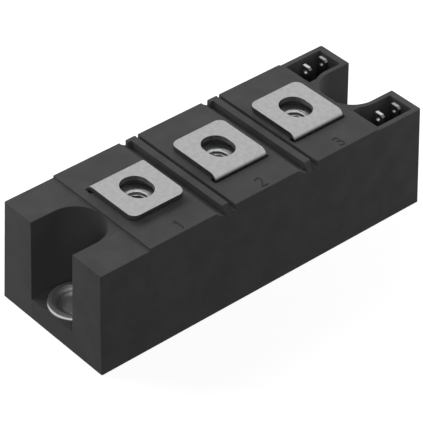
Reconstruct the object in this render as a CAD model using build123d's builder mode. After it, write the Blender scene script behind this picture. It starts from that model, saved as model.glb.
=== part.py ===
from build123d import *
import os
from math import cos, radians, tan

os.makedirs("parts", exist_ok=True)

# Isolated double thyristor module: a moulded housing on a copper base plate, with three screw
# terminals on its deck and two sockets for gate tabs. X runs along the length with the sockets
# at the +X end, Y runs to the back, Z is up from the face that lies on the heat sink.
# All sizes are in millimetres and degrees.

# Housing, outside
width = 34.5
draft = 1.7
edge_radius = 0.35
skirt_gap = 0.2
deck_top = 26.9
jaw_step = 0.6
ear_step = 0.4

# Open screw slots at both ends
slot_radius = 7.1
slot_inset = 7.0
flange_top = 5.5

# Terminals: straps that rise through the deck and fold over a captive nut
terminal_pitch = 23.0
strap_width = 14.8
strap_thickness = 1.2
strap_bend = 0.6
strap_corner = 2.0
strap_edge = 0.15
strap_land = 2.5
free_reach = 7.7
fold_reach = 7.8
strap_slot_clearance = 0.35
screw_slot_width = 6.6
screw_slot_length = 8.3
leg_width = 8.0
leg_shoulder = 20.5
foot_margin = 0.9

# Barriers between the deck sections: a bevelled groove, a rib with a heel at the back, and a
# narrow groove
bevel_groove = 2.65
rib_width = 1.8
narrow_groove = 0.85
barrier_shift = 0.4
bevel_lip = 0.25
bevel_depth = 2.0
narrow_depth = 1.4
rib_setback = 1.5
rib_end_depth = 2.0
rib_heel_width = 0.85
rib_heel_length = 1.0

# Housing, inside
skirt_end_wall = 1.9
skirt_side_wall = 1.65
plate_clearance = 0.1
plate_ledge = 1.0
cavity_end_wall = 1.7
cavity_corner = 1.5
deck_thickness = 3.6
duct_end_wall = 3.0
duct_slot_wall = 1.8
jaw_roof = 2.4

# Terminal nuts, and the moulded boss and pedestal that hold each one
nut_flats = 10.0
nut_height = 5.0
nut_bore_radius = 2.5
nut_bore_chamfer = 0.55
nut_face_ratio = 0.95
nut_corner_angle = 30.0
nut_drop = 1.6
nut_clearance = 0.12
boss_wall = 1.3
boss_floor = 1.6
well_radius = 3.6
well_depth = 4.2
pedestal_height = 0.5
pedestal_side_inset = 0.7

# Gate sockets
pocket_end_wall = 2.5
pocket_side_wall = 2.05
pocket_slot_wall = 1.1
pocket_deck_wall = 1.0
pocket_bulge = 0.1
pocket_depth = 8.0
pocket_floor_thickness = 2.0

# Gate tabs
tab_pitch = 5.0
tab_thickness = 0.8
tab_width = 2.8
tab_margin = 1.75
tab_rise = 0.4
tab_hole_radius = 0.6
tab_hole_drop = 1.4
tab_tip_chamfer = 0.5
tab_slot_clearance = 0.08
shoulder_width = 4.0
shoulder_height = 1.2
tail_width = 1.6

# Base plate
plate_thickness = 3.0
plate_corner = 1.5
plate_chamfer = 0.3

# Eyelets, with a beaded rim on the flange and a flared foot in the base plate
screw_radius = 3.2
eyelet_wall = 0.9
eyelet_clearance = 0.05
rim_radius = 6.5
rim_height = 0.75
rim_bead = 1.2
rim_bevel = 0.35
dish_depth = 0.3
throat_flare = 0.7
foot_flare = 0.9
foot_recess = 0.1

# Inner circuit
foil = 0.3
ceramic_thickness = 0.6
ceramic_end_gap = 2.2
ceramic_side_gap = 1.1
ceramic_margin = 0.8
pad_gap = 1.0
middle_pad_left = -7.5
middle_pad_right = 9.0
chip_size = 11.0
chip_thickness = 0.4
chip_back_margin = 1.2
chip_a_end_margin = 4.7
chip_b_end_margin = 5.7
chip_b_y = -3.0
clip_width = 5.0
clip_thickness = 0.8
clip_rise = 2.2
clip_bend = 0.8
clip_foot = 3.0
lead_size = 1.0
lead_bend = 1.2
lead_run = 0.5
lead_spacing = 2.5
gate_inset = 1.3

# Places along the length that follow from the sizes above
step_x = terminal_pitch + strap_width / 2 + strap_land
mount_x = step_x + slot_radius
length = 2 * (mount_x + slot_inset)
end_run = length / 2 - step_x
barrier = bevel_groove + rib_width + narrow_groove
barrier_x = terminal_pitch / 2 + barrier_shift

# Heights
jaw_top = deck_top - jaw_step
ear_top = deck_top - ear_step
deck_under = deck_top - deck_thickness
pedestal_top = deck_top + pedestal_height
face_z = pedestal_top + strap_thickness
nut_top = pedestal_top - nut_drop
nut_bottom = nut_top - nut_height
well_bottom = nut_bottom - well_depth
boss_bottom = well_bottom - boss_floor
pocket_floor = ear_top - pocket_depth
duct_roof = pocket_floor - pocket_floor_thickness

# Widths
deck_half_width = width / 2 - (deck_top - skirt_gap) * tan(radians(draft))
plate_length = length - 2 * (skirt_end_wall + plate_clearance)
plate_width = width - 2 * (skirt_side_wall + plate_clearance)
cavity_length = 2 * (step_x - cavity_end_wall)
cavity_width = plate_width + 2 * plate_clearance - 2 * plate_ledge
boss_x = nut_flats / cos(radians(30)) + 2 * boss_wall
boss_y = nut_flats + 2 * boss_wall
pedestal_x = strap_width - 2 * pedestal_side_inset
pedestal_y = 2 * (fold_reach - strap_thickness - strap_bend)
duct_x0 = cavity_length / 2 - cavity_corner
duct_x1 = length / 2 - duct_end_wall
duct_y0 = slot_radius + duct_slot_wall
duct_y1 = cavity_width / 2
pocket_x0 = step_x + pocket_deck_wall
pocket_x1 = length / 2 - pocket_end_wall
pocket_y0 = slot_radius + pocket_bulge
pocket_y1 = width / 2 - pocket_side_wall
tab_y = pocket_y1 - tab_margin - tab_width / 2
eyelet_radius = screw_radius + eyelet_wall

# Levels and places in the inner circuit
ceramic_length = cavity_length - 2 * ceramic_end_gap
ceramic_width = cavity_width - 2 * ceramic_side_gap
pad_x1 = ceramic_length / 2 - ceramic_margin
pad_y1 = ceramic_width / 2 - ceramic_margin
ceramic_bottom = plate_thickness + foil
pad_bottom = ceramic_bottom + ceramic_thickness
pad_top = pad_bottom + foil
chip_top = pad_top + chip_thickness
clip_top = chip_top + clip_rise + clip_thickness
chip_a_x = pad_x1 - chip_a_end_margin - chip_size / 2
chip_b_x = -pad_x1 + chip_b_end_margin + chip_size / 2
chip_a_y = pad_y1 - chip_back_margin - chip_size / 2
finger_y = chip_a_y - clip_width / 2 - pad_gap / 2
lead_low = clip_top + lead_bend + lead_run
lead_high = lead_low + lead_spacing

terminals = {
    "1": (-terminal_pitch, 1),
    "2": (0.0, -1),
    "3": (terminal_pitch, -1),
}

# Housing: a drafted block, made hollow from below
with BuildPart() as housing:
    with BuildSketch(Plane.XY.offset(skirt_gap)):
        Rectangle(length, width)
    extrude(amount=deck_top - skirt_gap, taper=draft)
    fillet(housing.edges().filter_by(Axis.Z, tolerance=5), radius=edge_radius)

    # The ends are lower than the deck, and each has a screw slot that opens through its end
    for side, top in ((-1, jaw_top), (1, ear_top)):
        with BuildSketch(Plane.XY.offset(top)):
            with Locations((side * (step_x + end_run / 2), 0)):
                Rectangle(end_run, width)
        extrude(amount=deck_top - top, mode=Mode.SUBTRACT)
        with BuildSketch(Plane.XY.offset(flange_top)):
            with Locations((side * mount_x, 0)):
                Circle(slot_radius)
            with Locations((side * (mount_x + slot_inset / 2), 0)):
                Rectangle(slot_inset, 2 * slot_radius)
        extrude(amount=deck_top - flange_top, mode=Mode.SUBTRACT)

    # Rebate for the base plate, and the cavity above it
    with BuildSketch(Plane.XY.offset(skirt_gap)):
        RectangleRounded(
            plate_length + 2 * plate_clearance,
            plate_width + 2 * plate_clearance,
            plate_corner + plate_clearance,
        )
    extrude(amount=plate_thickness - skirt_gap, mode=Mode.SUBTRACT)
    with BuildSketch(Plane.XY.offset(plate_thickness)):
        Rectangle(cavity_length, cavity_width)
    extrude(amount=deck_under - plate_thickness, taper=draft, mode=Mode.SUBTRACT)

    # Ducts beside the slots keep the walls even, and those at +X carry the gate leads
    for side, roof in ((-1, jaw_top - jaw_roof), (1, duct_roof)):
        duct_centre = side * (duct_x0 + duct_x1) / 2
        with BuildSketch(Plane.XY.offset(plate_thickness)):
            with Locations(
                (duct_centre, (duct_y0 + duct_y1) / 2),
                (duct_centre, -(duct_y0 + duct_y1) / 2),
            ):
                Rectangle(duct_x1 - duct_x0, duct_y1 - duct_y0)
        extrude(amount=roof - plate_thickness, mode=Mode.SUBTRACT)
        with BuildSketch(Plane.XY.offset(plate_thickness)):
            with Locations((side * mount_x, 0)):
                Circle(eyelet_radius + eyelet_clearance)
        extrude(amount=flange_top - plate_thickness, mode=Mode.SUBTRACT)

    # Under each terminal a boss hangs from the deck and a low pedestal stands on it. They hold
    # the nut, and the strap comes up through a slot beside them.
    for x, fold in terminals.values():
        with BuildSketch(Plane.XY.offset(boss_bottom)):
            with Locations((x, 0)):
                Rectangle(boss_x, boss_y)
        extrude(amount=deck_top - boss_bottom)
        with BuildSketch(Plane.XY.offset(deck_top)):
            with Locations((x, 0)):
                Rectangle(pedestal_x, pedestal_y)
        extrude(amount=pedestal_height)
        with BuildSketch(Plane.XY.offset(nut_bottom)):
            with Locations((x, 0)):
                RegularPolygon(nut_flats / 2 + nut_clearance, 6, major_radius=False)
        extrude(amount=pedestal_top - nut_bottom, mode=Mode.SUBTRACT)
        with BuildSketch(Plane.XY.offset(well_bottom)):
            with Locations((x, 0)):
                Circle(well_radius)
        extrude(amount=well_depth, mode=Mode.SUBTRACT)
        with BuildSketch(Plane.XY.offset(deck_under)):
            with Locations((x, fold * (fold_reach - strap_thickness / 2))):
                Rectangle(
                    strap_width + 2 * strap_slot_clearance,
                    strap_thickness + 2 * strap_slot_clearance,
                )
        extrude(amount=pedestal_top - deck_under, mode=Mode.SUBTRACT)

    # Barriers between the sections. The bevelled groove is narrower over the heel of the rib at
    # the back, and the rib slopes down to the front face.
    heel_y = deck_half_width - rib_heel_length
    for centre_x in (-barrier_x, barrier_x):
        groove_x = centre_x - barrier / 2
        rib_x = groove_x + bevel_groove
        narrow_x = rib_x + rib_width
        for run, y0, y1 in (
            (bevel_groove, -width / 2, heel_y),
            (bevel_groove - rib_heel_width, heel_y, width / 2),
        ):
            with BuildSketch(Plane.XZ.offset(-y1)):
                with BuildLine():
                    Polyline(
                        (groove_x, deck_top),
                        (groove_x, deck_top - bevel_lip),
                        (
                            groove_x + run,
                            deck_top - bevel_lip - (bevel_depth - bevel_lip) * run / bevel_groove,
                        ),
                        (groove_x + run, deck_top),
                        close=True,
                    )
                make_face()
            extrude(amount=y1 - y0, mode=Mode.SUBTRACT)
        with BuildSketch(Plane.XZ):
            with Locations((narrow_x + narrow_groove / 2, deck_top - narrow_depth / 2)):
                Rectangle(narrow_groove, narrow_depth)
        extrude(amount=width / 2, both=True, mode=Mode.SUBTRACT)
        with BuildSketch(Plane.YZ.offset(rib_x + rib_width / 2)):
            with BuildLine():
                Polyline(
                    (rib_setback - deck_half_width, deck_top),
                    (-width / 2, deck_top),
                    (-width / 2, deck_top - rib_end_depth),
                    (-deck_half_width, deck_top - rib_end_depth),
                    close=True,
                )
            make_face()
        extrude(amount=rib_width / 2, both=True, mode=Mode.SUBTRACT)

    # Gate sockets: their inner walls follow the screw slot, and the tabs come up through
    # their floors
    for side in (-1, 1):
        with BuildSketch(Plane.XY.offset(pocket_floor)):
            with Locations(((pocket_x0 + pocket_x1) / 2, side * (pocket_y0 + pocket_y1) / 2)):
                Rectangle(pocket_x1 - pocket_x0, pocket_y1 - pocket_y0)
            with Locations((mount_x, 0)):
                Circle(slot_radius + pocket_slot_wall, mode=Mode.SUBTRACT)
            with Locations((mount_x + slot_inset / 2, 0)):
                Rectangle(slot_inset, 2 * (slot_radius + pocket_slot_wall), mode=Mode.SUBTRACT)
        extrude(amount=pocket_depth, mode=Mode.SUBTRACT)
        with BuildSketch(Plane.XY.offset(duct_roof)):
            with Locations(
                (mount_x - tab_pitch / 2, side * tab_y),
                (mount_x + tab_pitch / 2, side * tab_y),
            ):
                Rectangle(
                    tab_thickness + 2 * tab_slot_clearance,
                    tab_width + 2 * tab_slot_clearance,
                )
        extrude(amount=pocket_floor_thickness, mode=Mode.SUBTRACT)
housing.part.label = "housing"
export_step(housing.part, "parts/housing.step")

# Base plate, with a countersink under each eyelet
with BuildPart() as base_plate:
    with BuildSketch():
        RectangleRounded(plate_length, plate_width, plate_corner)
    extrude(amount=plate_thickness)
    chamfer(base_plate.faces().sort_by(Axis.Z)[0].outer_wire().edges(), length=plate_chamfer)
    with Locations((-mount_x, 0, 0), (mount_x, 0, 0)):
        Cylinder(
            eyelet_radius + eyelet_clearance,
            plate_thickness,
            align=(Align.CENTER, Align.CENTER, Align.MIN),
            mode=Mode.SUBTRACT,
        )
        Cone(
            eyelet_radius + foot_flare + foot_recess,
            eyelet_radius,
            foot_flare + foot_recess,
            align=(Align.CENTER, Align.CENTER, Align.MIN),
            mode=Mode.SUBTRACT,
        )
base_plate.part.label = "base_plate"
export_step(base_plate.part, "parts/base_plate.step")

# Eyelets: turned tubes that clamp the flange to the base plate
for name, x in (("eyelet_left", -mount_x), ("eyelet_right", mount_x)):
    throat = screw_radius + throat_flare
    rim_top = flange_top + rim_height
    dish = rim_top - dish_depth
    with BuildPart() as eyelet:
        with BuildSketch(Plane.XZ.move(Location((x, 0, 0)))) as section:
            with BuildLine():
                Polyline(
                    (screw_radius, foot_recess),
                    (screw_radius, dish - throat_flare),
                    (throat, dish),
                    (rim_radius - rim_bead - dish_depth, dish),
                    (rim_radius - rim_bead, rim_top),
                    (rim_radius - rim_bevel, rim_top),
                    (rim_radius, rim_top - rim_bevel),
                    (rim_radius, flange_top),
                    (eyelet_radius, flange_top),
                    (eyelet_radius, foot_recess + foot_flare),
                    (eyelet_radius + foot_flare, foot_recess),
                    close=True,
                )
            make_face()
        revolve(axis=Axis((x, 0, 0), (0, 0, 1)))
    eyelet.part.label = name
    export_step(eyelet.part, f"parts/{name}.step")

# Terminal straps: top plate, fold, narrow leg through the cavity, and foot on its pad
for number, (x, fold) in terminals.items():
    leg_y = fold_reach - strap_thickness
    foot_tip = pad_y1 - foot_margin
    side_plane = Plane(origin=(x, 0, 0), x_dir=(0, fold, 0), z_dir=(fold, 0, 0))
    with BuildPart() as terminal:
        with BuildSketch(side_plane):
            with BuildLine():
                FilletPolyline(
                    (-free_reach, pedestal_top),
                    (leg_y, pedestal_top),
                    (leg_y, pad_top),
                    (foot_tip, pad_top),
                    radius=[strap_bend, strap_bend + strap_thickness],
                )
                offset(amount=strap_thickness, side=Side.LEFT)
            make_face()
        extrude(amount=strap_width / 2, both=True)
        # The leg is narrower than the plate
        for side in (-1, 1):
            with BuildSketch(Plane.XY.offset(pad_top)):
                with Locations((x + side * (strap_width + leg_width) / 4, fold * fold_reach)):
                    Rectangle((strap_width - leg_width) / 2, 4 * foot_tip)
            extrude(amount=leg_shoulder - pad_top, mode=Mode.SUBTRACT)
        # Slot for the screw, and round corners at the free end
        with BuildSketch(Plane.XY.offset(pedestal_top)):
            with Locations((x, 0)):
                SlotOverall(screw_slot_length, screw_slot_width, rotation=90)
        extrude(amount=strap_thickness, mode=Mode.SUBTRACT)
        ends = terminal.edges().filter_by(Axis.Z).group_by(Axis.Y)
        fillet(ends[0] if fold > 0 else ends[-1], radius=strap_corner)
        top_face = terminal.faces().sort_by(Axis.Z)[-1]
        chamfer(top_face.outer_wire().edges(), length=strap_edge)
    terminal.part.label = f"terminal_{number}"
    export_step(terminal.part, f"parts/terminal_{number}.step")

# Terminal nuts
for number, (x, fold) in terminals.items():
    face_radius = nut_face_ratio * nut_flats / 2
    corner_radius = nut_flats / 2 / cos(radians(30)) + nut_bore_chamfer
    corner_drop = (corner_radius - face_radius) * tan(radians(nut_corner_angle))
    with BuildPart() as terminal_nut:
        with BuildSketch(Plane.XY.offset(nut_bottom)):
            with Locations((x, 0)):
                RegularPolygon(nut_flats / 2, 6, major_radius=False)
                Circle(nut_bore_radius, mode=Mode.SUBTRACT)
        extrude(amount=nut_height)
        bore_edges = terminal_nut.edges().filter_by(GeomType.CIRCLE).sort_by(Axis.Z)
        chamfer(bore_edges[-1], length=nut_bore_chamfer)
        with BuildSketch(Plane.XZ.move(Location((x, 0, 0)))):
            with BuildLine():
                Polyline(
                    (0, nut_bottom),
                    (corner_radius, nut_bottom),
                    (corner_radius, nut_top - corner_drop),
                    (face_radius, nut_top),
                    (0, nut_top),
                    close=True,
                )
            make_face()
        revolve(axis=Axis((x, 0, 0), (0, 0, 1)), mode=Mode.INTERSECT)
    terminal_nut.part.label = f"terminal_nut_{number}"
    export_step(terminal_nut.part, f"parts/terminal_nut_{number}.step")

# Gate tabs: blade with a bevelled tip and a hole, shoulder under the socket floor, and tail
for face_name, side in (("front", -1), ("back", 1)):
    for row_name, row, lead_z in (("inner", -1, lead_high), ("outer", 1, lead_low)):
        tail_bottom = lead_z + lead_bend + lead_run
        tab_top = ear_top + tab_rise
        tab_x = mount_x + row * tab_pitch / 2
        with BuildPart() as gate_tab:
            with BuildSketch(Plane.YZ.offset(tab_x)):
                with Locations((side * tab_y, (duct_roof + tab_top) / 2)):
                    Rectangle(tab_width, tab_top - duct_roof)
                with Locations((side * tab_y, duct_roof - shoulder_height / 2)):
                    Rectangle(shoulder_width, shoulder_height)
                with Locations((side * tab_y, (duct_roof + tail_bottom) / 2)):
                    Rectangle(tail_width, duct_roof - tail_bottom)
                with Locations((side * tab_y, tab_top - tab_hole_drop)):
                    Circle(tab_hole_radius, mode=Mode.SUBTRACT)
            extrude(amount=tab_thickness / 2, both=True)
            tip = gate_tab.faces().sort_by(Axis.Z)[-1]
            chamfer(tip.edges().filter_by(Axis.X), length=tab_tip_chamfer)
        gate_tab.part.label = f"gate_tab_{face_name}_{row_name}"
        export_step(gate_tab.part, f"parts/gate_tab_{face_name}_{row_name}.step")

# Substrate: ceramic with a foil below and three copper pads above
with BuildPart() as substrate_foil:
    with BuildSketch(Plane.XY.offset(plate_thickness)):
        Rectangle(2 * pad_x1, 2 * pad_y1)
    extrude(amount=foil)
substrate_foil.part.label = "substrate_foil"
export_step(substrate_foil.part, "parts/substrate_foil.step")

with BuildPart() as substrate_ceramic:
    with BuildSketch(Plane.XY.offset(ceramic_bottom)):
        Rectangle(ceramic_length, ceramic_width)
    extrude(amount=ceramic_thickness)
substrate_ceramic.part.label = "substrate_ceramic"
export_step(substrate_ceramic.part, "parts/substrate_ceramic.step")

# The left pad runs along the back of the middle one, to meet the clip of the other chip
with BuildPart() as pad_left:
    with BuildSketch(Plane.XY.offset(pad_bottom)):
        with BuildLine():
            Polyline(
                (-pad_x1, -pad_y1),
                (middle_pad_left - pad_gap, -pad_y1),
                (middle_pad_left - pad_gap, finger_y),
                (middle_pad_right, finger_y),
                (middle_pad_right, pad_y1),
                (-pad_x1, pad_y1),
                close=True,
            )
        make_face()
    extrude(amount=foil)
pad_left.part.label = "pad_left"
export_step(pad_left.part, "parts/pad_left.step")

with BuildPart() as pad_middle:
    with BuildSketch(Plane.XY.offset(pad_bottom)):
        with Locations((middle_pad_left, -pad_y1)):
            Rectangle(
                middle_pad_right - middle_pad_left,
                finger_y - pad_gap + pad_y1,
                align=(Align.MIN, Align.MIN),
            )
    extrude(amount=foil)
pad_middle.part.label = "pad_middle"
export_step(pad_middle.part, "parts/pad_middle.step")

with BuildPart() as pad_right:
    with BuildSketch(Plane.XY.offset(pad_bottom)):
        with Locations((middle_pad_right + pad_gap, -pad_y1)):
            Rectangle(
                pad_x1 - middle_pad_right - pad_gap,
                2 * pad_y1,
                align=(Align.MIN, Align.MIN),
            )
    extrude(amount=foil)
pad_right.part.label = "pad_right"
export_step(pad_right.part, "parts/pad_right.step")

# Chips, each with a bent clip from its top to the next pad. The clip's foot on the chip stands
# at the middle of the chip, and the other one ends at land_x.
circuits = {
    "a": (chip_a_x, chip_a_y, middle_pad_right - pad_gap),
    "b": (chip_b_x, chip_b_y, middle_pad_left + pad_gap),
}
for letter, (x, y, land_x) in circuits.items():
    with BuildPart() as thyristor_chip:
        with BuildSketch(Plane.XY.offset(pad_top)):
            with Locations((x, y)):
                Rectangle(chip_size, chip_size)
        extrude(amount=chip_thickness)
    thyristor_chip.part.label = f"thyristor_chip_{letter}"
    export_step(thyristor_chip.part, f"parts/thyristor_chip_{letter}.step")

    toward = 1 if land_x > x else -1
    with BuildPart() as cathode_clip:
        with BuildSketch(Plane(origin=(x, y, 0), x_dir=(toward, 0, 0), z_dir=(0, -toward, 0))):
            span = abs(land_x - x)
            with BuildLine():
                FilletPolyline(
                    (-clip_foot / 2, chip_top),
                    (clip_foot / 2 + clip_thickness, chip_top),
                    (clip_foot / 2 + clip_thickness, chip_top + clip_rise),
                    (span, chip_top + clip_rise),
                    (span, pad_top),
                    (span + clip_foot, pad_top),
                    radius=[clip_bend, clip_bend, clip_bend, clip_bend],
                )
                offset(amount=clip_thickness, side=Side.LEFT)
            make_face()
        extrude(amount=clip_width / 2, both=True)
    cathode_clip.part.label = f"cathode_clip_{letter}"
    export_step(cathode_clip.part, f"parts/cathode_clip_{letter}.step")

# Inner leads of square wire: from each chip's gate corner and from each clip to the tail of a tab
gate_corner = chip_size / 2 - gate_inset
inner_x = mount_x - tab_pitch / 2
outer_x = mount_x + tab_pitch / 2
tail_inner = lead_high + lead_bend + lead_run
tail_outer = lead_low + lead_bend + lead_run
lead_routes = {
    "gate_lead_a": [
        (chip_a_x + gate_corner, chip_a_y + gate_corner, chip_top),
        (chip_a_x + gate_corner, chip_a_y + gate_corner, lead_high),
        (inner_x, tab_y, lead_high),
        (inner_x, tab_y, tail_inner),
    ],
    "cathode_lead_a": [
        (middle_pad_right + pad_gap, chip_a_y, clip_top),
        (middle_pad_right + pad_gap, chip_a_y, lead_low),
        (chip_a_x, tab_y, lead_low),
        (outer_x, tab_y, lead_low),
        (outer_x, tab_y, tail_outer),
    ],
    "gate_lead_b": [
        (chip_b_x + gate_corner, chip_b_y - gate_corner, chip_top),
        (chip_b_x + gate_corner, chip_b_y - gate_corner, lead_high),
        (middle_pad_left, -tab_y + lead_size, lead_high),
        (inner_x, -tab_y, lead_high),
        (inner_x, -tab_y, tail_inner),
    ],
    "cathode_lead_b": [
        (middle_pad_left - 2 * pad_gap, chip_b_y, clip_top),
        (middle_pad_left - 2 * pad_gap, chip_b_y, lead_low),
        (middle_pad_left, -tab_y + lead_size, lead_low),
        (outer_x, -tab_y, lead_low),
        (outer_x, -tab_y, tail_outer),
    ],
}
for name, route in lead_routes.items():
    with BuildPart() as lead:
        with BuildLine() as path:
            FilletPolyline(*route, radius=lead_bend)
        with BuildSketch(Plane(origin=path.line @ 0, z_dir=path.line % 0)):
            Rectangle(lead_size, lead_size)
        sweep(transition=Transition.RIGHT)
    lead.part.label = name
    export_step(lead.part, f"parts/{name}.step")
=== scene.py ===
"""Dressed model of an isolated thyristor module with three screw terminals.

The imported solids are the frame. This file gives them their finishes, and adds the threaded nuts,
the turned eyelets and the moulded numerals. Sizes in the classes are in millimetres.
"""

import logging
import math
from collections.abc import Callable, Sequence
from dataclasses import dataclass, field, replace
from enum import Enum

import bpy
from mathutils import Euler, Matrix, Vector


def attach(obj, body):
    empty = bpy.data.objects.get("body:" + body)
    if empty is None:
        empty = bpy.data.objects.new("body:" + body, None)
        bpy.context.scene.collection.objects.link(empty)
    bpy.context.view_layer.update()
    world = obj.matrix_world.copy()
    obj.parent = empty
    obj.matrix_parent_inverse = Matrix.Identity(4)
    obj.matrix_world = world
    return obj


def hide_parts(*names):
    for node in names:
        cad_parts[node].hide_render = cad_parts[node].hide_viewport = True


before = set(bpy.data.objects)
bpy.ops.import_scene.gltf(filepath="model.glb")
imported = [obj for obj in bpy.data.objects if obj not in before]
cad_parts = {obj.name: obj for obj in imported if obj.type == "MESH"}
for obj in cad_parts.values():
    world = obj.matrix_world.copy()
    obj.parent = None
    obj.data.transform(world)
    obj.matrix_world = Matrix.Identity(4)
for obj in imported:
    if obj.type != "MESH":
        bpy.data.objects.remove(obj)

Point = tuple[float, float, float]
Colour = tuple[float, float, float, float]

LOG = logging.getLogger("thyristor_module")

# One millimetre in metres.
MM = 0.001

# The linear colour of full white.
WHITE: Colour = (1.0, 1.0, 1.0, 1.0)

# How far each eyelet's axis stands from the module's middle along X, in millimetres.
EYELET_X = 40.0

# The stretches of a noise's range that the gloss and the patches follow.
GLOSS_SPAN = (0.3, 0.7)
PATCH_SPAN = (0.35, 0.65)

# The scale of directional relief along its lay, against its scale across it.
LAY_SCALE = 0.04

# The samples that round an edge in the shading.
EDGE_SAMPLES = 6


def linear_colour(hex_code: str) -> Colour:
    """Turn an sRGB hex value into the linear colour that the shaders take.

    Args:
        hex_code: Six hex digits, with or without a leading hash sign.

    Returns:
        Red, green, blue and an alpha of one.
    """
    digits = hex_code.lstrip("#")
    channels = []
    for start in (0, 2, 4):
        value = int(digits[start : start + 2], 16) / 255
        channels.append(value / 12.92 if value <= 0.04045 else ((value + 0.055) / 1.055) ** 2.4)
    return channels[0], channels[1], channels[2], 1.0


def add_node(
    tree: bpy.types.NodeTree,
    kind: str,
    settings: dict[str, object] | None = None,
    inputs: dict[str | int, object] | None = None,
) -> bpy.types.Node:
    """Add a shader node with its settings, its constants and its links.

    Args:
        tree: The node tree that takes the node.
        kind: The node's type name.
        settings: Properties of the node.
        inputs: Values of its sockets by name or index; an output socket as a value makes a link.

    Returns:
        The new node.
    """
    node = tree.nodes.new(kind)
    for name, value in (settings or {}).items():
        setattr(node, name, value)
    for name, value in (inputs or {}).items():
        if isinstance(value, bpy.types.NodeSocket):
            tree.links.new(value, node.inputs[name])
        else:
            node.inputs[name].default_value = value
    return node


class Operation(Enum):
    """The sums that the shaders do, by the maths node's names for them."""

    ABSOLUTE = "ABSOLUTE"
    SUBTRACT = "SUBTRACT"
    MULTIPLY = "MULTIPLY"
    MAXIMUM = "MAXIMUM"
    GREATER_THAN = "GREATER_THAN"
    LESS_THAN = "LESS_THAN"


def add_math(
    tree: bpy.types.NodeTree,
    operation: Operation,
    *values: bpy.types.NodeSocket | float,
) -> bpy.types.NodeSocket:
    """Add a maths node.

    Args:
        tree: The node tree that takes the node.
        operation: What it does.
        values: What it does it with, in the node's order.

    Returns:
        The result.
    """
    settings = {"operation": operation.value}
    return add_node(tree, "ShaderNodeMath", settings, dict(enumerate(values))).outputs[0]


def add_range(
    tree: bpy.types.NodeTree,
    value: bpy.types.NodeSocket,
    start: tuple[float, float],
    end: tuple[float, float],
) -> bpy.types.NodeSocket:
    """Add a node that carries a value from one range over to another.

    Args:
        tree: The node tree that takes the node.
        value: The value, which is clamped to the first range.
        start: The range that it comes from.
        end: The range that it goes to.

    Returns:
        The value in the second range.
    """
    limits = {"From Min": start[0], "From Max": start[1], "To Min": end[0], "To Max": end[1]}
    node = add_node(tree, "ShaderNodeMapRange", inputs={"Value": value, **limits})
    return node.outputs["Result"]


def per_metre(size_mm: float) -> float:
    """Return the texture scale at which one feature of a pattern is size_mm wide."""
    return 1 / (size_mm * MM)


def angles_round(count: int) -> list[float]:
    """Return that many angles in radians, evenly spaced round a circle."""
    return [2 * math.pi * k / count for k in range(count)]


class Slot(Enum):
    """The record's material slots, by what each one is."""

    MOULDING = "moulding"
    BASE_COPPER = "base_copper"
    EYELET_STEEL = "eyelet_steel"
    TERMINAL_PLATING = "terminal_plating"
    NUT_STEEL = "nut_steel"
    TAB_PLATING = "tab_plating"
    CIRCUIT_COPPER = "circuit_copper"
    CERAMIC = "ceramic"
    SILICON = "silicon"
    LEAD_INSULATION = "lead_insulation"


class Grain(Enum):
    """How a surface's fine relief lies."""

    ALL_WAYS = "all_ways"
    ALONG_X = "along_x"
    ALONG_Y = "along_y"
    TURNED = "turned"


class Flank(Enum):
    """What tells a strip's sheared flanks from its faces."""

    UPRIGHT = "upright"
    FACING_Y = "facing_y"


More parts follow.
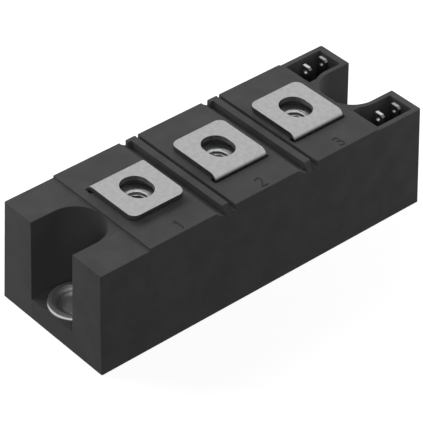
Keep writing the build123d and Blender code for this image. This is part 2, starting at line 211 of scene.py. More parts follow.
@dataclass(frozen=True)
class Finish:
    """One finish: colour, its slow mottling, gloss and fine relief.

    Attributes:
        name: The material's name.
        colour: The sRGB hex colour of most of the surface.
        mottle: The sRGB hex colour of its patches.
        mottle_mm: How wide the patches are.
        mottle_share: How far the patches go towards the mottle colour.
        metallic: One for a metal, zero for anything else.
        ior: The index of refraction; a metal keeps the default.
        specular: The strength of the surface reflection of a non-metal.
        roughness: The middle of the roughness.
        roughness_swing: How far the roughness strays from it.
        grain_mm: How wide the fine relief is.
        relief_mm: How deep it is.
        grain: How it lies.
        edge_mm: The radius that its edges are rounded to.
    """

    name: str
    colour: str
    mottle: str
    mottle_mm: float
    mottle_share: float
    metallic: float
    roughness: float
    roughness_swing: float
    grain_mm: float
    relief_mm: float
    ior: float = 1.5
    specular: float = 0.5
    grain: Grain = Grain.ALL_WAYS
    edge_mm: float = 0.1

    def build(self) -> bpy.types.Material:
        """Build the material.

        Returns:
            The material, ready to go into a slot.
        """
        material = bpy.data.materials.new(self.name)
        material.use_nodes = True
        material.diffuse_color = linear_colour(self.colour)
        material.metallic = self.metallic
        material.roughness = self.roughness
        tree = material.node_tree
        tree.nodes.clear()
        place = add_node(tree, "ShaderNodeTexCoord")
        relief = self.relief(tree, place)
        rough_span = (self.roughness - self.roughness_swing, self.roughness + self.roughness_swing)
        edge = add_node(
            tree,
            "ShaderNodeBevel",
            settings={"samples": EDGE_SAMPLES},
            inputs={"Radius": self.edge_mm * MM},
        )
        bump = add_node(
            tree,
            "ShaderNodeBump",
            inputs={
                "Height": relief,
                "Strength": 1.0,
                "Distance": self.relief_mm * MM,
                "Normal": edge.outputs["Normal"],
            },
        )
        shader = add_node(
            tree,
            "ShaderNodeBsdfPrincipled",
            inputs={
                "Base Color": self.base_colour(tree, place),
                "Metallic": self.metallic,
                "Roughness": add_range(tree, relief, GLOSS_SPAN, rough_span),
                "IOR": self.ior,
                "Specular IOR Level": self.specular,
                "Normal": bump.outputs["Normal"],
            },
        )
        add_node(tree, "ShaderNodeOutputMaterial", inputs={"Surface": shader.outputs["BSDF"]})
        return material

    def relief(self, tree: bpy.types.NodeTree, place: bpy.types.Node) -> bpy.types.NodeSocket:
        """Add the fine relief.

        Args:
            tree: The material's node tree.
            place: Its texture coordinates.

        Returns:
            The relief's height, about 0.5 on the whole.
        """
        detail = {"Scale": per_metre(self.grain_mm), "Detail": 3.0, "Roughness": 0.6}
        if self.grain is Grain.TURNED:
            noise = add_node(
                tree,
                "ShaderNodeTexNoise",
                settings={"noise_dimensions": "1D"},
                inputs={"W": self.reach(tree, place), **detail},
            )
            return noise.outputs["Fac"]
        stretch = {
            Grain.ALL_WAYS: (1.0, 1.0, 1.0),
            Grain.ALONG_X: (LAY_SCALE, 1.0, 1.0),
            Grain.ALONG_Y: (1.0, LAY_SCALE, 1.0),
        }[self.grain]
        lay = add_node(
            tree,
            "ShaderNodeMapping",
            inputs={"Vector": place.outputs["Object"], "Scale": stretch},
        )
        noise = add_node(
            tree,
            "ShaderNodeTexNoise",
            inputs={"Vector": lay.outputs["Vector"], **detail},
        )
        return noise.outputs["Fac"]

    @staticmethod
    def reach(tree: bpy.types.NodeTree, place: bpy.types.Node) -> bpy.types.NodeSocket:
        """Add the distance from the axis of the nearer screw eyelet.

        Args:
            tree: The material's node tree.
            place: Its texture coordinates.

        Returns:
            The distance in metres.
        """
        split = add_node(tree, "ShaderNodeSeparateXYZ", inputs={0: place.outputs["Object"]})
        from_middle = add_math(tree, Operation.ABSOLUTE, split.outputs["X"])
        from_axis = add_math(tree, Operation.SUBTRACT, from_middle, EYELET_X * MM)
        flat = add_node(
            tree,
            "ShaderNodeCombineXYZ",
            inputs={"X": from_axis, "Y": split.outputs["Y"]},
        )
        length = add_node(
            tree,
            "ShaderNodeVectorMath",
            settings={"operation": "LENGTH"},
            inputs={0: flat.outputs["Vector"]},
        )
        return length.outputs["Value"]

    def base_colour(self, tree: bpy.types.NodeTree, place: bpy.types.Node) -> bpy.types.NodeSocket:
        """Add the colour and its mottling.

        Args:
            tree: The material's node tree.
            place: Its texture coordinates.

        Returns:
            The colour.
        """
        patches = add_node(
            tree,
            "ShaderNodeTexNoise",
            inputs={
                "Vector": place.outputs["Object"],
                "Scale": per_metre(self.mottle_mm),
                "Detail": 4.0,
            },
        )
        share = add_range(tree, patches.outputs["Fac"], PATCH_SPAN, (0.0, self.mottle_share))
        return self.blend(tree, share, linear_colour(self.colour), linear_colour(self.mottle))

    @staticmethod
    def blend(
        tree: bpy.types.NodeTree,
        share: bpy.types.NodeSocket,
        first: bpy.types.NodeSocket | Colour,
        second: bpy.types.NodeSocket | Colour,
    ) -> bpy.types.NodeSocket:
        """Blend two colours.

        Args:
            tree: The material's node tree.
            share: How much of the second one shows.
            first: The first colour.
            second: The second colour.

        Returns:
            The blended colour.
        """
        # The mix node has sockets of one name for each type of value: 6, 7 and 2 are the colours'.
        mix = add_node(
            tree,
            "ShaderNodeMix",
            settings={"data_type": "RGBA"},
            inputs={0: share, 6: first, 7: second},
        )
        return mix.outputs[2]


@dataclass(frozen=True)
class MouldedFinish(Finish):
    """A moulded skin with painted shade: its colour is darker in the screw slots, where shade
    falls.

    Attributes:
        slot_shade_colour: The sRGB hex colour in the slots.
        slot_inner_mm: How far from the middle of the length a slot starts.
        slot_half_mm: Half the slots' width, with a hair to spare.
    """
    # slot_shade_colour: The sRGB hex colour of the painted shade in the slots.

    slot_shade_colour: str = "#404040"
    slot_inner_mm: float = 32.88
    slot_half_mm: float = 7.12

    def base_colour(self, tree: bpy.types.NodeTree, place: bpy.types.Node) -> bpy.types.NodeSocket:
        """Add the mottled colour with the painted shade in the slots.

        Args:
            tree: The material's node tree.
            place: Its texture coordinates.

        Returns:
            The colour.
        """
        usual = super().base_colour(tree, place)
        split = add_node(tree, "ShaderNodeSeparateXYZ", inputs={0: place.outputs["Object"]})
        along = add_math(tree, Operation.ABSOLUTE, split.outputs["X"])
        across = add_math(tree, Operation.ABSOLUTE, split.outputs["Y"])
        far_out = add_math(tree, Operation.GREATER_THAN, along, self.slot_inner_mm * MM)
        between = add_math(tree, Operation.LESS_THAN, across, self.slot_half_mm * MM)
        # Painted shade: the colour darkens inside the screw slots' recesses.
        in_slot = add_math(tree, Operation.MULTIPLY, far_out, between)
        return self.blend(tree, in_slot, usual, linear_colour(self.slot_shade_colour))


@dataclass(frozen=True)
class StripFinish(Finish):
    """A plated strip with darker flanks: painted shade on straps, dull sheared edges on tabs.

    Attributes:
        flank_dull_and_shade_colour: The flanks' sRGB hex colour: painted shade on straps, dull edge
            on tabs.
        flank: Whether the flanks are what stands upright, or what faces along Y.
        flank_slope: The normal's share on Z or Y at which the flank's tone is half reached.
        flank_soft: How much of that share the change of tone takes, to each side.
    """

    flank_dull_and_shade_colour: str = "#8f8f8f"
    flank: Flank = Flank.UPRIGHT
    flank_slope: float = 0.52
    flank_soft: float = 0.08

    def base_colour(self, tree: bpy.types.NodeTree, place: bpy.types.Node) -> bpy.types.NodeSocket:
        """Add the mottled plating with the flanks' darker colour.

        Args:
            tree: The material's node tree.
            place: Its texture coordinates.

        Returns:
            The colour.
        """
        plating = super().base_colour(tree, place)
        split = add_node(tree, "ShaderNodeSeparateXYZ", inputs={0: place.outputs["Normal"]})
        axis, shares = {
            Flank.UPRIGHT: ("Z", (1.0, 0.0)),
            Flank.FACING_Y: ("Y", (0.0, 1.0)),
        }[self.flank]
        on_axis = add_math(tree, Operation.ABSOLUTE, split.outputs[axis])
        turn = (self.flank_slope - self.flank_soft, self.flank_slope + self.flank_soft)
        # On the straps the darker upright faces are painted shade and painted dark reflection.
        share = add_range(tree, on_axis, turn, shares)
        return self.blend(tree, share, plating, linear_colour(self.flank_dull_and_shade_colour))


# Glass-filled thermoset moulded against a spark-eroded tool: a dark grey, quite matt skin whose
# fine grain scatters light evenly. The real grain is about 0.1 mm and is drawn at 0.3 mm to show.
# Inside the screw slots its colour is darkened with painted shade.
GRAINED_MOULDING = MouldedFinish(
    name="thermoset_spark_eroded",
    colour="#464646",
    mottle="#3d3d3d",
    mottle_mm=5.0,
    mottle_share=0.7,
    metallic=0.0,
    roughness=0.58,
    roughness_swing=0.06,
    grain_mm=0.3,
    relief_mm=0.006,
    specular=0.05,
    edge_mm=0.2,
)

# The same thermoset where the tool was polished, its darker colour painted shade: the numerals
# take less light from the side. What grain is left is drawn at the 0.3 mm of the skin around it.
POLISHED_MOULDING = Finish(
    name="thermoset_polished",
    colour="#343434",
    mottle="#2f2f2f",
    mottle_mm=2.0,
    mottle_share=0.5,
    metallic=0.0,
    roughness=0.35,
    roughness_swing=0.04,
    grain_mm=0.3,
    relief_mm=0.002,
    specular=0.05,
    edge_mm=0.05,
)

# Copper strip, matt tin plated after blanking: light grey, satin, with cloudy patches about 1 mm
# across and rolling lines. The real lines are about 0.03 mm apart and are drawn at 0.25 mm to show.
# Its upright faces, the sides and the fold's front, carry painted shade and dark reflection.
TIN_PLATED_STRIP = StripFinish(
    name="copper_strip_tin_plated",
    colour="#b4b4b4",
    mottle="#a7a7a7",
    mottle_mm=1.1,
    mottle_share=0.8,
    metallic=1.0,
    roughness=0.3,
    roughness_swing=0.04,
    grain_mm=0.25,
    relief_mm=0.001,
    grain=Grain.ALONG_Y,
    edge_mm=0.03,
)

# Brass tab stock, bright tin plated before it was stamped, so that its sheared edges are dull. The
# tin's grain is about 0.05 mm and is drawn at 0.3 mm to show.
TIN_PLATED_TAB = StripFinish(
    name="brass_tab_tin_plated",
    colour="#cececc",
    mottle="#bebebb",
    mottle_mm=1.5,
    mottle_share=0.5,
    metallic=1.0,
    roughness=0.3,
    roughness_swing=0.05,
    grain_mm=0.3,
    relief_mm=0.0005,
    edge_mm=0.05,
    flank_dull_and_shade_colour="#6c6c6b",
    flank=Flank.FACING_Y,
)

# The same tabs in a greyer colour, painted shade for the outer ones.
SHADED_TAB = replace(
    TIN_PLATED_TAB,
    name="brass_tab_tin_shaded",
    colour="#a6a6a4",
    mottle="#959592",
)

# Cold-formed steel nut, zinc plated and clear passivated: bright, a little cloudy. The zinc's
# crystals are about 0.05 mm and are drawn at 0.3 mm to show.
ZINC_PLATED_STEEL = Finish(
    name="steel_zinc_plated",
    colour="#d0d1d2",
    mottle="#bfc0c2",
    mottle_mm=1.2,
    mottle_share=0.6,
    metallic=1.0,
    roughness=0.42,
    roughness_swing=0.06,
    grain_mm=0.3,
    relief_mm=0.001,
    edge_mm=0.06,
)

# Steel eyelet, turned and nickel plated: bright, with rings left by the tool. The real rings are
# about 0.1 mm apart and are drawn at 0.45 mm to show.
NICKEL_PLATED_STEEL = Finish(
    name="steel_nickel_plated",
    colour="#c8c8c7",
    mottle="#b4b4b3",
    mottle_mm=1.5,
    mottle_share=0.5,
    metallic=1.0,
    roughness=0.45,
    roughness_swing=0.06,
    grain_mm=0.45,
    relief_mm=0.06,
    grain=Grain.TURNED,
    edge_mm=0.05,
)

# Copper base, face-milled flat for the heat sink: warm, with cutter marks across it at a feed of
# 0.35 mm.
MILLED_COPPER = Finish(
    name="copper_face_milled",
    colour="#c98a69",
    mottle="#b87a5a",
    mottle_mm=9.0,
    mottle_share=0.6,
    metallic=1.0,
    roughness=0.34,
    roughness_swing=0.06,
    grain_mm=0.35,
    relief_mm=0.004,
    grain=Grain.ALONG_Y,
    edge_mm=0.15,
)

# Bare rolled copper of the circuit's foil and clips: warm and satin. The real rolling lines are
# about 0.03 mm apart and are drawn at 0.3 mm to show.
ROLLED_COPPER = Finish(
    name="copper_rolled",
    colour="#cf9070",
    mottle="#c07f60",
    mottle_mm=3.0,
    mottle_share=0.5,
    metallic=1.0,
    roughness=0.3,
    roughness_swing=0.05,
    grain_mm=0.3,
    relief_mm=0.002,
    grain=Grain.ALONG_X,
    edge_mm=0.05,
)

# Sintered alumina: an even white with a fine matt skin. The real grain is a few thousandths of a
# millimetre and is drawn at 0.2 mm to show.
ALUMINA = Finish(
    name="alumina_sintered",
    colour="#e9e7e0",
    mottle="#dfdcd4",
    mottle_mm=4.0,
    mottle_share=0.4,
    metallic=0.0,
    roughness=0.6,
    roughness_swing=0.05,
    grain_mm=0.2,
    relief_mm=0.002,
    ior=1.76,
    edge_mm=0.05,
)

# Silicon wafer with a metallised face: dark blue-grey and nearly polished. The metal's grain is
# about 0.02 mm and is drawn at 0.2 mm to show.
SILICON_WAFER = Finish(
    name="silicon_metallised",
    colour="#7c808c",
    mottle="#6d717d",
    mottle_mm=2.0,
    mottle_share=0.4,
    metallic=1.0,
    roughness=0.2,
    roughness_swing=0.04,
    grain_mm=0.2,
    relief_mm=0.001,
    edge_mm=0.03,
)

# Extruded silicone rubber sleeve on the inner leads: pale and dull, with a slight orange peel of
# 0.3 mm from the die.
SILICONE_SLEEVE = Finish(
    name="silicone_rubber_extruded",
    colour="#c9c3b4",
    mottle="#bdb7a8",
    mottle_mm=2.0,
    mottle_share=0.4,
    metallic=0.0,
    roughness=0.5,
    roughness_swing=0.05,
    grain_mm=0.3,
    relief_mm=0.003,
    ior=1.41,
    edge_mm=0.1,
)


class Dresser:
    """Keeps one material per finish, and gives CAD nodes and new pieces theirs."""

    def __init__(self) -> None:
        """Start with no material built."""
        self.built: dict[str, bpy.types.Material] = {}

    def material(self, finish: Finish) -> bpy.types.Material:
        """Return the material of a finish, built at its first use.

        Args:
            finish: The finish to look up.

        Returns:
            Its material.
        """
        if finish.name not in self.built:
            self.built[finish.name] = finish.build()
        return self.built[finish.name]

    def dress_node(self, name: str, finish: Finish) -> None:
        """Give a CAD node a finish.

        Args:
            name: The node's name.
            finish: The finish for all of it.
        """
        for material_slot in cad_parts[name].material_slots:
            material_slot.material = self.material(finish)
        LOG.info("%s: %s", name, finish.name)

    def add_piece(
        self,
        name: str,
        mesh: bpy.types.Mesh,
        finish: Finish,
        replaced: Sequence[str] = (),
    ) -> None:
        """Add a piece that rides on the module's body.

        Args:
            name: The piece's name.
            mesh: Its mesh, in metres, in the frame.
            finish: Its finish.
            replaced: The CAD nodes that it stands for.
        """
        piece = bpy.data.objects.new(name, mesh)
        bpy.context.scene.collection.objects.link(piece)
        mesh.materials.clear()
        mesh.materials.append(self.material(finish))
        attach(piece, "root")
        if replaced:
            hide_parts(*replaced)
        LOG.info("%s: %s, %d faces", name, finish.name, len(mesh.polygons))


def mesh_of_rings(
    name: str,
    rings: Sequence[Sequence[Point]],
    closed: bool,
    sharp_deg: float = 30.0,
) -> bpy.types.Mesh:
    """Join rings of points, each with as many points, into a mesh of quads.

    Args:
        name: The mesh's name.
        rings: Rings of points in millimetres, all the same way round.
        closed: Whether the last ring joins the first.
        sharp_deg: Edges that turn by more than this stay sharp.

    Returns:
        The mesh, in metres, with smooth faces.
    """
    count = len(rings[0])
    points = [tuple(v * MM for v in point) for ring in rings for point in ring]
    faces = []
    for i in range(len(rings) if closed else len(rings) - 1):
        low, high = i * count, ((i + 1) % len(rings)) * count
        for j in range(count):
            k = (j + 1) % count
            faces.append((low + j, low + k, high + k, high + j))
    mesh = bpy.data.meshes.new(name)
    mesh.from_pydata(points, [], faces)
    mesh.validate()
    mesh.polygons.foreach_set("use_smooth", [True] * len(mesh.polygons))
    mesh.set_sharp_from_angle(angle=math.radians(sharp_deg))
    mesh.update()
    return mesh


@dataclass
class Housing:
    """The moulded housing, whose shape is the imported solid's own."""

    node: str = "housing"

    def dress(self, dresser: Dresser) -> None:
        """Give the housing its grained skin."""
        dresser.dress_node(self.node, GRAINED_MOULDING)


@dataclass
class Numerals:
    """The terminal numbers moulded on the deck in front of the straps.

    Attributes:
        strokes: The centre lines of each numeral's strokes, in millimetres from its middle.
        places: Each numeral and its middle along X.
        centre_y: Where their middles lie across the deck.
        stroke_width: The width of a stroke.
        rise: How far a stroke's crown stands out of the deck.
        sink: How far its edges reach into the deck.
        deck_top: The deck's height.
        across: Points across a stroke.
        mitre_least: The least cosine that the width at a bend is divided by.
        sharp_deg: Edges that turn by more than this stay sharp.
    """

    strokes: dict[str, tuple[tuple[float, float], ...]] = field(
        default_factory=lambda: {
            "1": ((-0.62, 0.85), (-0.2, 1.2), (0.1, 1.5), (0.1, 0.5), (0.1, -0.5), (0.1, -1.5)),
            "2": (
                (-0.72, 0.85),
                (-0.5, 1.3),
                (0.0, 1.5),
                (0.5, 1.3),
                (0.72, 0.8),
                (0.5, 0.15),
                (-0.1, -0.65),
                (-0.7, -1.46),
                (0.0, -1.48),
                (0.8, -1.48),
            ),
            "3": (
                (-0.7, 1.15),
                (-0.1, 1.5),
                (0.55, 1.15),
                (0.5, 0.45),
                (-0.1, 0.1),
                (0.55, -0.15),
                (0.75, -0.8),
                (0.4, -1.4),
                (-0.2, -1.5),
                (-0.72, -1.15),
            ),
        }
    )
    places: tuple[tuple[str, float], ...] = (("1", -23.1), ("2", 0.05), ("3", 23.1))
    centre_y: float = -13.95
    stroke_width: float = 0.5
    rise: float = 0.14
    sink: float = 0.04
    deck_top: float = 26.9
    across: int = 7
    mitre_least: float = 0.6
    sharp_deg: float = 70.0

    def ribbon(self, line: Sequence[tuple[float, float]], centre_x: float) -> list[list[Point]]:
        """Sweep a domed section along a centre line.

        Args:
            line: The centre line in millimetres from the numeral's middle.
            centre_x: The numeral's middle along X.

        Returns:
            One row of points across the stroke for each point of the line.
        """
        rows = []
        points = [Vector(p) for p in line]
        for i, point in enumerate(points):
            ahead = (points[min(i + 1, len(points) - 1)] - point).normalized()
            behind = (point - points[max(i - 1, 0)]).normalized()
            along = (ahead + behind).normalized()
            side = Vector((-along.y, along.x))
            bend = side.dot(Vector((-ahead.y, ahead.x))) if ahead.length else 1.0
            cosine = max(bend, self.mitre_least)
            row = []
            for k in range(self.across):
                t = 2 * k / (self.across - 1) - 1
                spot = point + side * (t * self.stroke_width / 2 / cosine)
                height = self.deck_top - self.sink + (self.rise + self.sink) * math.sqrt(1 - t * t)
                row.append((centre_x + spot.x, self.centre_y + spot.y, height))
            rows.append(row)
        return rows

    def build(self, dresser: Dresser) -> None:
        """Build the numerals and set them on the deck.

        Args:
            dresser: Gives them their finish.
        """
        for digit, centre_x in self.places:
            rows = self.ribbon(self.strokes[digit], centre_x)
            mesh = mesh_of_rings(f"numeral_{digit}", rows, False, self.sharp_deg)
            dresser.add_piece(f"numeral_{digit}", mesh, POLISHED_MOULDING)


@dataclass
class TerminalNut:
    """A hexagon nut with a real thread, lying in its pocket under a strap.

    Attributes:
        number: The terminal's number.
        centre_x: Its place along X.
        flats: The width across flats.
        bottom: The height of its lower face.
        top: The height of its upper face.
        core_radius: The thread's core radius.
        thread_radius: The thread's outer radius.
        pitch: The thread's pitch.
        groove_floor: The share of the pitch that the thread groove's floor takes.
        groove_flank: The share of the pitch that each of its flanks takes.
        lead_in: The radius of the countersink at either face.
        lead_in_slope: How fast the countersink narrows with depth.
        face_radius: Where the corner chamfer meets the upper face.
        chamfer_deg: How steeply the corner chamfer falls.
        around: Points round the nut, a multiple of twelve.
        step: The height of one row of the thread's mesh.
    """

    number: str
    centre_x: float
    flats: float = 10.0
    bottom: float = 20.8
    top: float = 25.8
    core_radius: float = 2.5
    thread_radius: float = 3.0
    pitch: float = 1.0
    groove_floor: float = 0.125
    groove_flank: float = 0.25
    lead_in: float = 2.95
    lead_in_slope: float = 2.0
    face_radius: float = 4.75
    chamfer_deg: float = 30.0
    around: int = 96
    step: float = 0.1

    def bore_radius(self, angle: float, height: float) -> float:
        """Return the bore's radius at an angle in radians and a height.

        Args:
            angle: The angle round the nut.
            height: The height above the heat sink.

        Returns:
            The radius there, with the thread and both countersinks.
        """
        phase = (height / self.pitch - angle / (2 * math.pi)) % 1.0
        off_groove = abs(phase - 0.5) - self.groove_floor / 2
        depth = min(max(1 - off_groove / self.groove_flank, 0.0), 1.0)
        thread = self.core_radius + depth * (self.thread_radius - self.core_radius)
        upper = self.lead_in - self.lead_in_slope * (self.top - height)
        lower = self.lead_in - self.lead_in_slope * (height - self.bottom)
        return max(thread, upper, lower)

    def hex_radius(self, angle: float) -> float:
        """Return the hexagon's radius at an angle, with its corners on the X axis."""
        turn = math.pi / 3
        return self.flats / 2 / math.cos((angle % turn) - turn / 2)

    def chamfer_height(self, angle: float) -> float:
        """Return the height at which the corner chamfer meets the hexagon, at an angle."""
        slope = math.tan(math.radians(self.chamfer_deg))
        return self.top - (self.hex_radius(angle) - self.face_radius) * slope

    def ring(
        self,
        radius: Callable[[float], float],
        height: Callable[[float], float],
    ) -> list[Point]:
        """Set a ring of points round the nut's axis.

        Args:
            radius: The radius by the angle.
            height: The height by the angle.

        Returns:
            The points in millimetres.
        """
        return [
            (self.centre_x + radius(a) * math.cos(a), radius(a) * math.sin(a), height(a))
            for a in angles_round(self.around)
        ]

    def build(self, dresser: Dresser) -> None:
        """Build the nut in place of the plain one.

        Args:
            dresser: Gives it its finish.
        """
        rings = []
        for row in range(round((self.top - self.bottom) / self.step) + 1):
            level = self.bottom + row * self.step
            rings.append(self.ring(lambda a: self.bore_radius(a, level), lambda a: level))
        rings.append(self.ring(lambda a: self.face_radius, lambda a: self.top))
        rings.append(self.ring(self.hex_radius, self.chamfer_height))
        rings.append(self.ring(self.hex_radius, lambda a: self.bottom))
        mesh = mesh_of_rings(f"nut_{self.number}", rings, closed=True)
        dresser.add_piece(
            f"threaded_nut_{self.number}",
            mesh,
            ZINC_PLATED_STEEL,
            replaced=(f"terminal_nut_{self.number}",),
        )


@dataclass
class Terminals:
    """The three folded straps and their nuts."""

    places: tuple[tuple[str, float], ...] = (("1", -23.0), ("2", 0.0), ("3", 23.0))

    def build(self, dresser: Dresser) -> None:
        """Dress the straps and build the nuts.

        Args:
            dresser: Gives each one its finish.
        """
        for number, centre_x in self.places:
            dresser.dress_node(f"terminal_{number}", TIN_PLATED_STRIP)
            TerminalNut(number, centre_x).build(dresser)


@dataclass
class Eyelet:
    """A turned eyelet in a screw slot, with a rounded rim and a dished seat.

    Attributes:
        side: The node's ending, left or right.
        centre_x: Its place along X.
        profile: Radius, height and corner radius of each point of its section.
        around: Points round it.
        arc_steps: Steps along a rounded corner.
        reach_most: The share of a side that one rounded corner may take.
    """

    side: str
    centre_x: float
    profile: tuple[tuple[float, float, float], ...] = (
        (3.2, 0.1, 0.0),
        (3.2, 4.75, 0.2),
        (4.85, 5.95, 0.2),
        (5.05, 5.95, 0.05),
        (5.3, 6.24, 0.12),
        (6.3, 6.24, 0.12),
        (6.5, 5.92, 0.1),
        (6.5, 5.5, 0.0),
        (4.1, 5.5, 0.0),
        (4.1, 1.0, 0.0),
        (5.0, 0.1, 0.0),
    )
    around: int = 96
    arc_steps: int = 6
    reach_most: float = 0.49

    def section(self) -> list[tuple[float, float]]:
        """Round the section's corners.

        Returns:
            Radius and height of each point of the rounded section.
        """
        count = len(self.profile)
        points: list[tuple[float, float]] = []
        for i, (radius, height, rounding) in enumerate(self.profile):
            here = Vector((radius, height))
            if rounding == 0.0:
                points.append((radius, height))
                continue
            before = Vector(self.profile[i - 1][:2]) - here
            after = Vector(self.profile[(i + 1) % count][:2]) - here
            half = before.angle(after) / 2
            room = min(before.length, after.length) * self.reach_most
            reach = min(rounding / math.tan(half), room)
            start, end = here + before.normalized() * reach, here + after.normalized() * reach
            for k in range(self.arc_steps + 1):
                t = k / self.arc_steps
                point = start * (1 - t) ** 2 + here * (2 * t * (1 - t)) + end * t**2
                points.append((point.x, point.y))
        return points

    def build(self, dresser: Dresser) -> None:
        """Build the eyelet in place of the plain one.

        Args:
            dresser: Gives it its finish.
        """
        angles = angles_round(self.around)
        rings = [
            [(self.centre_x + r * math.cos(a), r * math.sin(a), z) for a in angles]
            for r, z in self.section()
        ]
        mesh = mesh_of_rings(f"eyelet_{self.side}_turned", rings, closed=True)
        dresser.add_piece(
            f"turned_eyelet_{self.side}",
            mesh,
            NICKEL_PLATED_STEEL,
            replaced=(f"eyelet_{self.side}",),
        )


@dataclass
class GateTabs:
    """The flat tabs in the two sockets."""

    finishes: tuple[tuple[str, Finish], ...] = (
        ("gate_tab_front_inner", TIN_PLATED_TAB),
        ("gate_tab_front_outer", SHADED_TAB),
        ("gate_tab_back_inner", TIN_PLATED_TAB),
        ("gate_tab_back_outer", SHADED_TAB),
    )

    def dress(self, dresser: Dresser) -> None:
        """Give the tabs their plating."""
        for node, finish in self.finishes:
            dresser.dress_node(node, finish)


@dataclass
class InnerCircuit:
    """The base plate and what stands on it inside the housing."""

    finishes: tuple[tuple[str, Finish], ...] = (
        ("base_plate", MILLED_COPPER),
        ("substrate_foil", ROLLED_COPPER),
        ("substrate_ceramic", ALUMINA),
        ("pad_left", ROLLED_COPPER),
        ("pad_middle", ROLLED_COPPER),
        ("pad_right", ROLLED_COPPER),
        ("thyristor_chip_a", SILICON_WAFER),
        ("thyristor_chip_b", SILICON_WAFER),
        ("cathode_clip_a", ROLLED_COPPER),
        ("cathode_clip_b", ROLLED_COPPER),
        ("gate_lead_a", SILICONE_SLEEVE),
        ("cathode_lead_a", SILICONE_SLEEVE),
        ("gate_lead_b", SILICONE_SLEEVE),
        ("cathode_lead_b", SILICONE_SLEEVE),
    )

    def dress(self, dresser: Dresser) -> None:
        """Give each inner piece its finish."""
        for node, finish in self.finishes:
            dresser.dress_node(node, finish)


@dataclass
class Lamp:
    """A soft square lamp that faces the module and doesn't show in its metal.

    Attributes:
        name: Its name.
        azimuth: Its direction round the module in degrees, from +X towards +Y.
        elevation: Its height in degrees.
        power: Its power in watts.
        distance: How far it hangs from the module's middle, in millimetres.
        size: Its width in millimetres.
        aim_height: The height that it faces, in millimetres.
    """

    name: str
    azimuth: float
    elevation: float
    power: float
    distance: float = 600.0
    size: float = 250.0
    aim_height: float = 14.0

    def build(self) -> None:
        """Hang the lamp."""
        light = bpy.data.lights.new(self.name, "AREA")
        light.shape = "SQUARE"
        light.size = self.size * MM
        light.energy = self.power
        lamp = bpy.data.objects.new(self.name, light)
        bpy.context.scene.collection.objects.link(lamp)
        around, up = math.radians(self.azimuth), math.radians(self.elevation)
        out = math.cos(up)
        away = Vector((out * math.cos(around), out * math.sin(around), math.sin(up)))
        lamp.location = Vector((0, 0, self.aim_height * MM)) + away * self.distance * MM
        lamp.rotation_euler = away.to_track_quat("Z", "Y").to_euler()
        lamp.visible_glossy = False
        lamp.visible_camera = False
        LOG.info("%s: %.3g W", self.name, self.power)


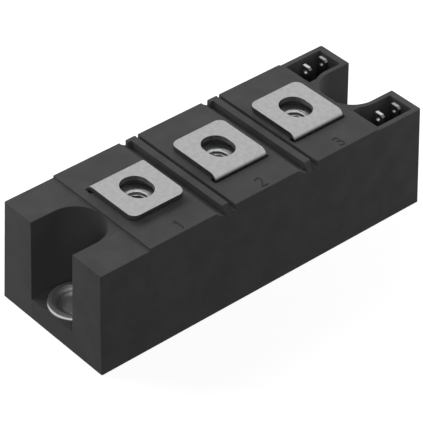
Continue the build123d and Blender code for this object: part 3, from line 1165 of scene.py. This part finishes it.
@dataclass
class Studio:
    """The camera, the floor, the lamps and the white surroundings.

    Attributes:
        camera_place: Where the camera stands, in millimetres, fitted to the photograph.
        camera_turn: Its rotation in degrees, fitted too.
        lens: Its focal length in millimetres, fitted too.
        sensor: The width of its sensor in millimetres.
        clip: The nearest and the farthest that it sees, in metres.
        floor_size: The floor's half width in millimetres.
        floor_drop: How far the floor lies below the module, in millimetres.
        shade: Half length and width of the floor's dark middle, painted shade hidden under the
            module.
        paper: The sRGB hex colour of the floor to the eye and to gloss.
        paper_bounce: Its colour for the light that it throws back at matt surfaces.
        glow: How far the floor is white by itself, to the eye and to gloss.
        painted_glow_in_shade: The same in its dark middle, a painted glow that the eyelets' bores
            show.
        lamps: The soft lamps.
    """

    camera_place: tuple[float, float, float] = (-282.421, -318.242, 343.547)
    camera_turn: tuple[float, float, float] = (51.9322, -0.7615, -40.8274)
    lens: float = 205.795
    sensor: float = 36.0
    clip: tuple[float, float] = (0.01, 50.0)
    floor_size: float = 2500.0
    floor_drop: float = 0.02
    shade: tuple[float, float] = (45.5, 16.0)
    paper: str = "#9c9c9c"
    paper_bounce: str = "#5c5c5c"
    glow: float = 0.82
    painted_glow_in_shade: float = 0.11
    lamps: tuple[Lamp, ...] = (
        Lamp("lamp_back_right", 45.0, 35.0, 1.3),
        Lamp("lamp_back", 90.0, 35.0, 2.3),
        Lamp("lamp_front_left", 225.0, 35.0, 1.0),
        Lamp("lamp_front_left_high", 240.0, 60.0, 0.6),
        Lamp("lamp_front_right_low", 315.0, 14.0, 0.08),
        Lamp("lamp_left_low", 180.0, 14.0, 0.18),
        Lamp("lamp_left_end", 135.0, 30.0, 0.12, distance=200.0, size=80.0),
        Lamp("lamp_left_end_low", 140.0, 10.0, 0.043, distance=160.0, size=80.0),
        Lamp("lamp_right_end", 335.0, 25.0, 0.06, distance=150.0, size=80.0),
    )

    def build(self) -> None:
        """Set the camera, the floor, the world and the lamps."""
        scene = bpy.context.scene
        scene.view_settings.view_transform = "Standard"
        camera_data = bpy.data.cameras.new("camera")
        camera_data.sensor_width = self.sensor
        camera_data.lens = self.lens
        camera_data.clip_start, camera_data.clip_end = self.clip
        camera = bpy.data.objects.new("camera", camera_data)
        scene.collection.objects.link(camera)
        camera.location = Vector(self.camera_place) * MM
        camera.rotation_euler = Euler([math.radians(v) for v in self.camera_turn], "XYZ")
        scene.camera = camera
        self.build_floor()
        self.build_world()
        for lamp in self.lamps:
            lamp.build()

    def build_floor(self) -> None:
        """Lay a floor that shows white around the module, and plain painted shade with a faint glow
        under it.
        """
        far, (half_x, half_y) = self.floor_size, self.shade
        xs, ys = (-far, -half_x, half_x, far), (-far, -half_y, half_y, far)
        mesh = bpy.data.meshes.new("floor")
        points = [(x * MM, y * MM, 0.0) for y in ys for x in xs]
        row = len(xs)
        first_corners = [j * row + i for j in range(row - 1) for i in range(row - 1)]
        faces = [(i, i + 1, i + row + 1, i + row) for i in first_corners]
        mesh.from_pydata(points, [], faces)
        mesh.polygons[len(faces) // 2].material_index = 1
        floor = bpy.data.objects.new("floor", mesh)
        bpy.context.scene.collection.objects.link(floor)
        floor.location.z = -self.floor_drop * MM
        mesh.materials.append(self.paper_material("paper_white_matt", self.glow))
        # Its dark middle is painted shade, with a faint painted glow that the eyelets' bores show.
        mesh.materials.append(self.paper_material("paper_in_the_shade", self.painted_glow_in_shade))

    def paper_material(self, name: str, glow_level: float) -> bpy.types.Material:
        """Build matt paper that shows brighter than the light that it throws back.

        Args:
            name: The material's name.
            glow_level: How far it is white by itself, to the eye and to gloss.

        Returns:
            The material.
        """
        material = bpy.data.materials.new(name)
        material.use_nodes = True
        tree = material.node_tree
        tree.nodes.clear()
        diffuse, emission = "ShaderNodeBsdfDiffuse", "ShaderNodeEmission"
        shown = add_node(tree, diffuse, inputs={"Color": linear_colour(self.paper)})
        glow = add_node(tree, emission, inputs={"Color": WHITE, "Strength": glow_level})
        bright = add_node(
            tree,
            "ShaderNodeAddShader",
            inputs={0: shown.outputs[0], 1: glow.outputs[0]},
        )
        bounce = add_node(tree, diffuse, inputs={"Color": linear_colour(self.paper_bounce)})
        mix = add_node(
            tree,
            "ShaderNodeMixShader",
            inputs={0: self.seen_rays(tree), 1: bounce.outputs[0], 2: bright.outputs[0]},
        )
        add_node(tree, "ShaderNodeOutputMaterial", inputs={"Surface": mix.outputs[0]})
        return material

    def build_world(self) -> None:
        """Make the surroundings white to the eye and to gloss, and dark to matt surfaces."""
        world = bpy.data.worlds.new("studio")
        bpy.context.scene.world = world
        world.use_nodes = True
        tree = world.node_tree
        tree.nodes.clear()
        dark, white = (
            add_node(tree, "ShaderNodeBackground", inputs={"Color": WHITE, "Strength": strength})
            for strength in (0.0, 1.0)
        )
        mix = add_node(
            tree,
            "ShaderNodeMixShader",
            inputs={0: self.seen_rays(tree), 1: dark.outputs[0], 2: white.outputs[0]},
        )
        add_node(tree, "ShaderNodeOutputWorld", inputs={"Surface": mix.outputs[0]})

    @staticmethod
    def seen_rays(tree: bpy.types.NodeTree) -> bpy.types.NodeSocket:
        """Return a socket that is one for camera, glossy and transmission rays.

        Args:
            tree: The node tree that takes the nodes.

        Returns:
            The output socket.
        """
        rays = add_node(tree, "ShaderNodeLightPath").outputs
        seen = add_math(tree, Operation.MAXIMUM, rays["Is Camera Ray"], rays["Is Glossy Ray"])
        return add_math(tree, Operation.MAXIMUM, seen, rays["Is Transmission Ray"])


def main() -> None:
    """Build the studio, dress the module and report each piece."""
    logging.basicConfig(level=logging.INFO, format="%(name)s: %(message)s")
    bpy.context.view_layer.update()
    dresser = Dresser()
    Studio().build()
    Housing().dress(dresser)
    Numerals().build(dresser)
    Terminals().build(dresser)
    for side, centre_x in (("left", -EYELET_X), ("right", EYELET_X)):
        Eyelet(side, centre_x).build(dresser)
    GateTabs().dress(dresser)
    InnerCircuit().dress(dresser)


if __name__ == "__main__":
    main()
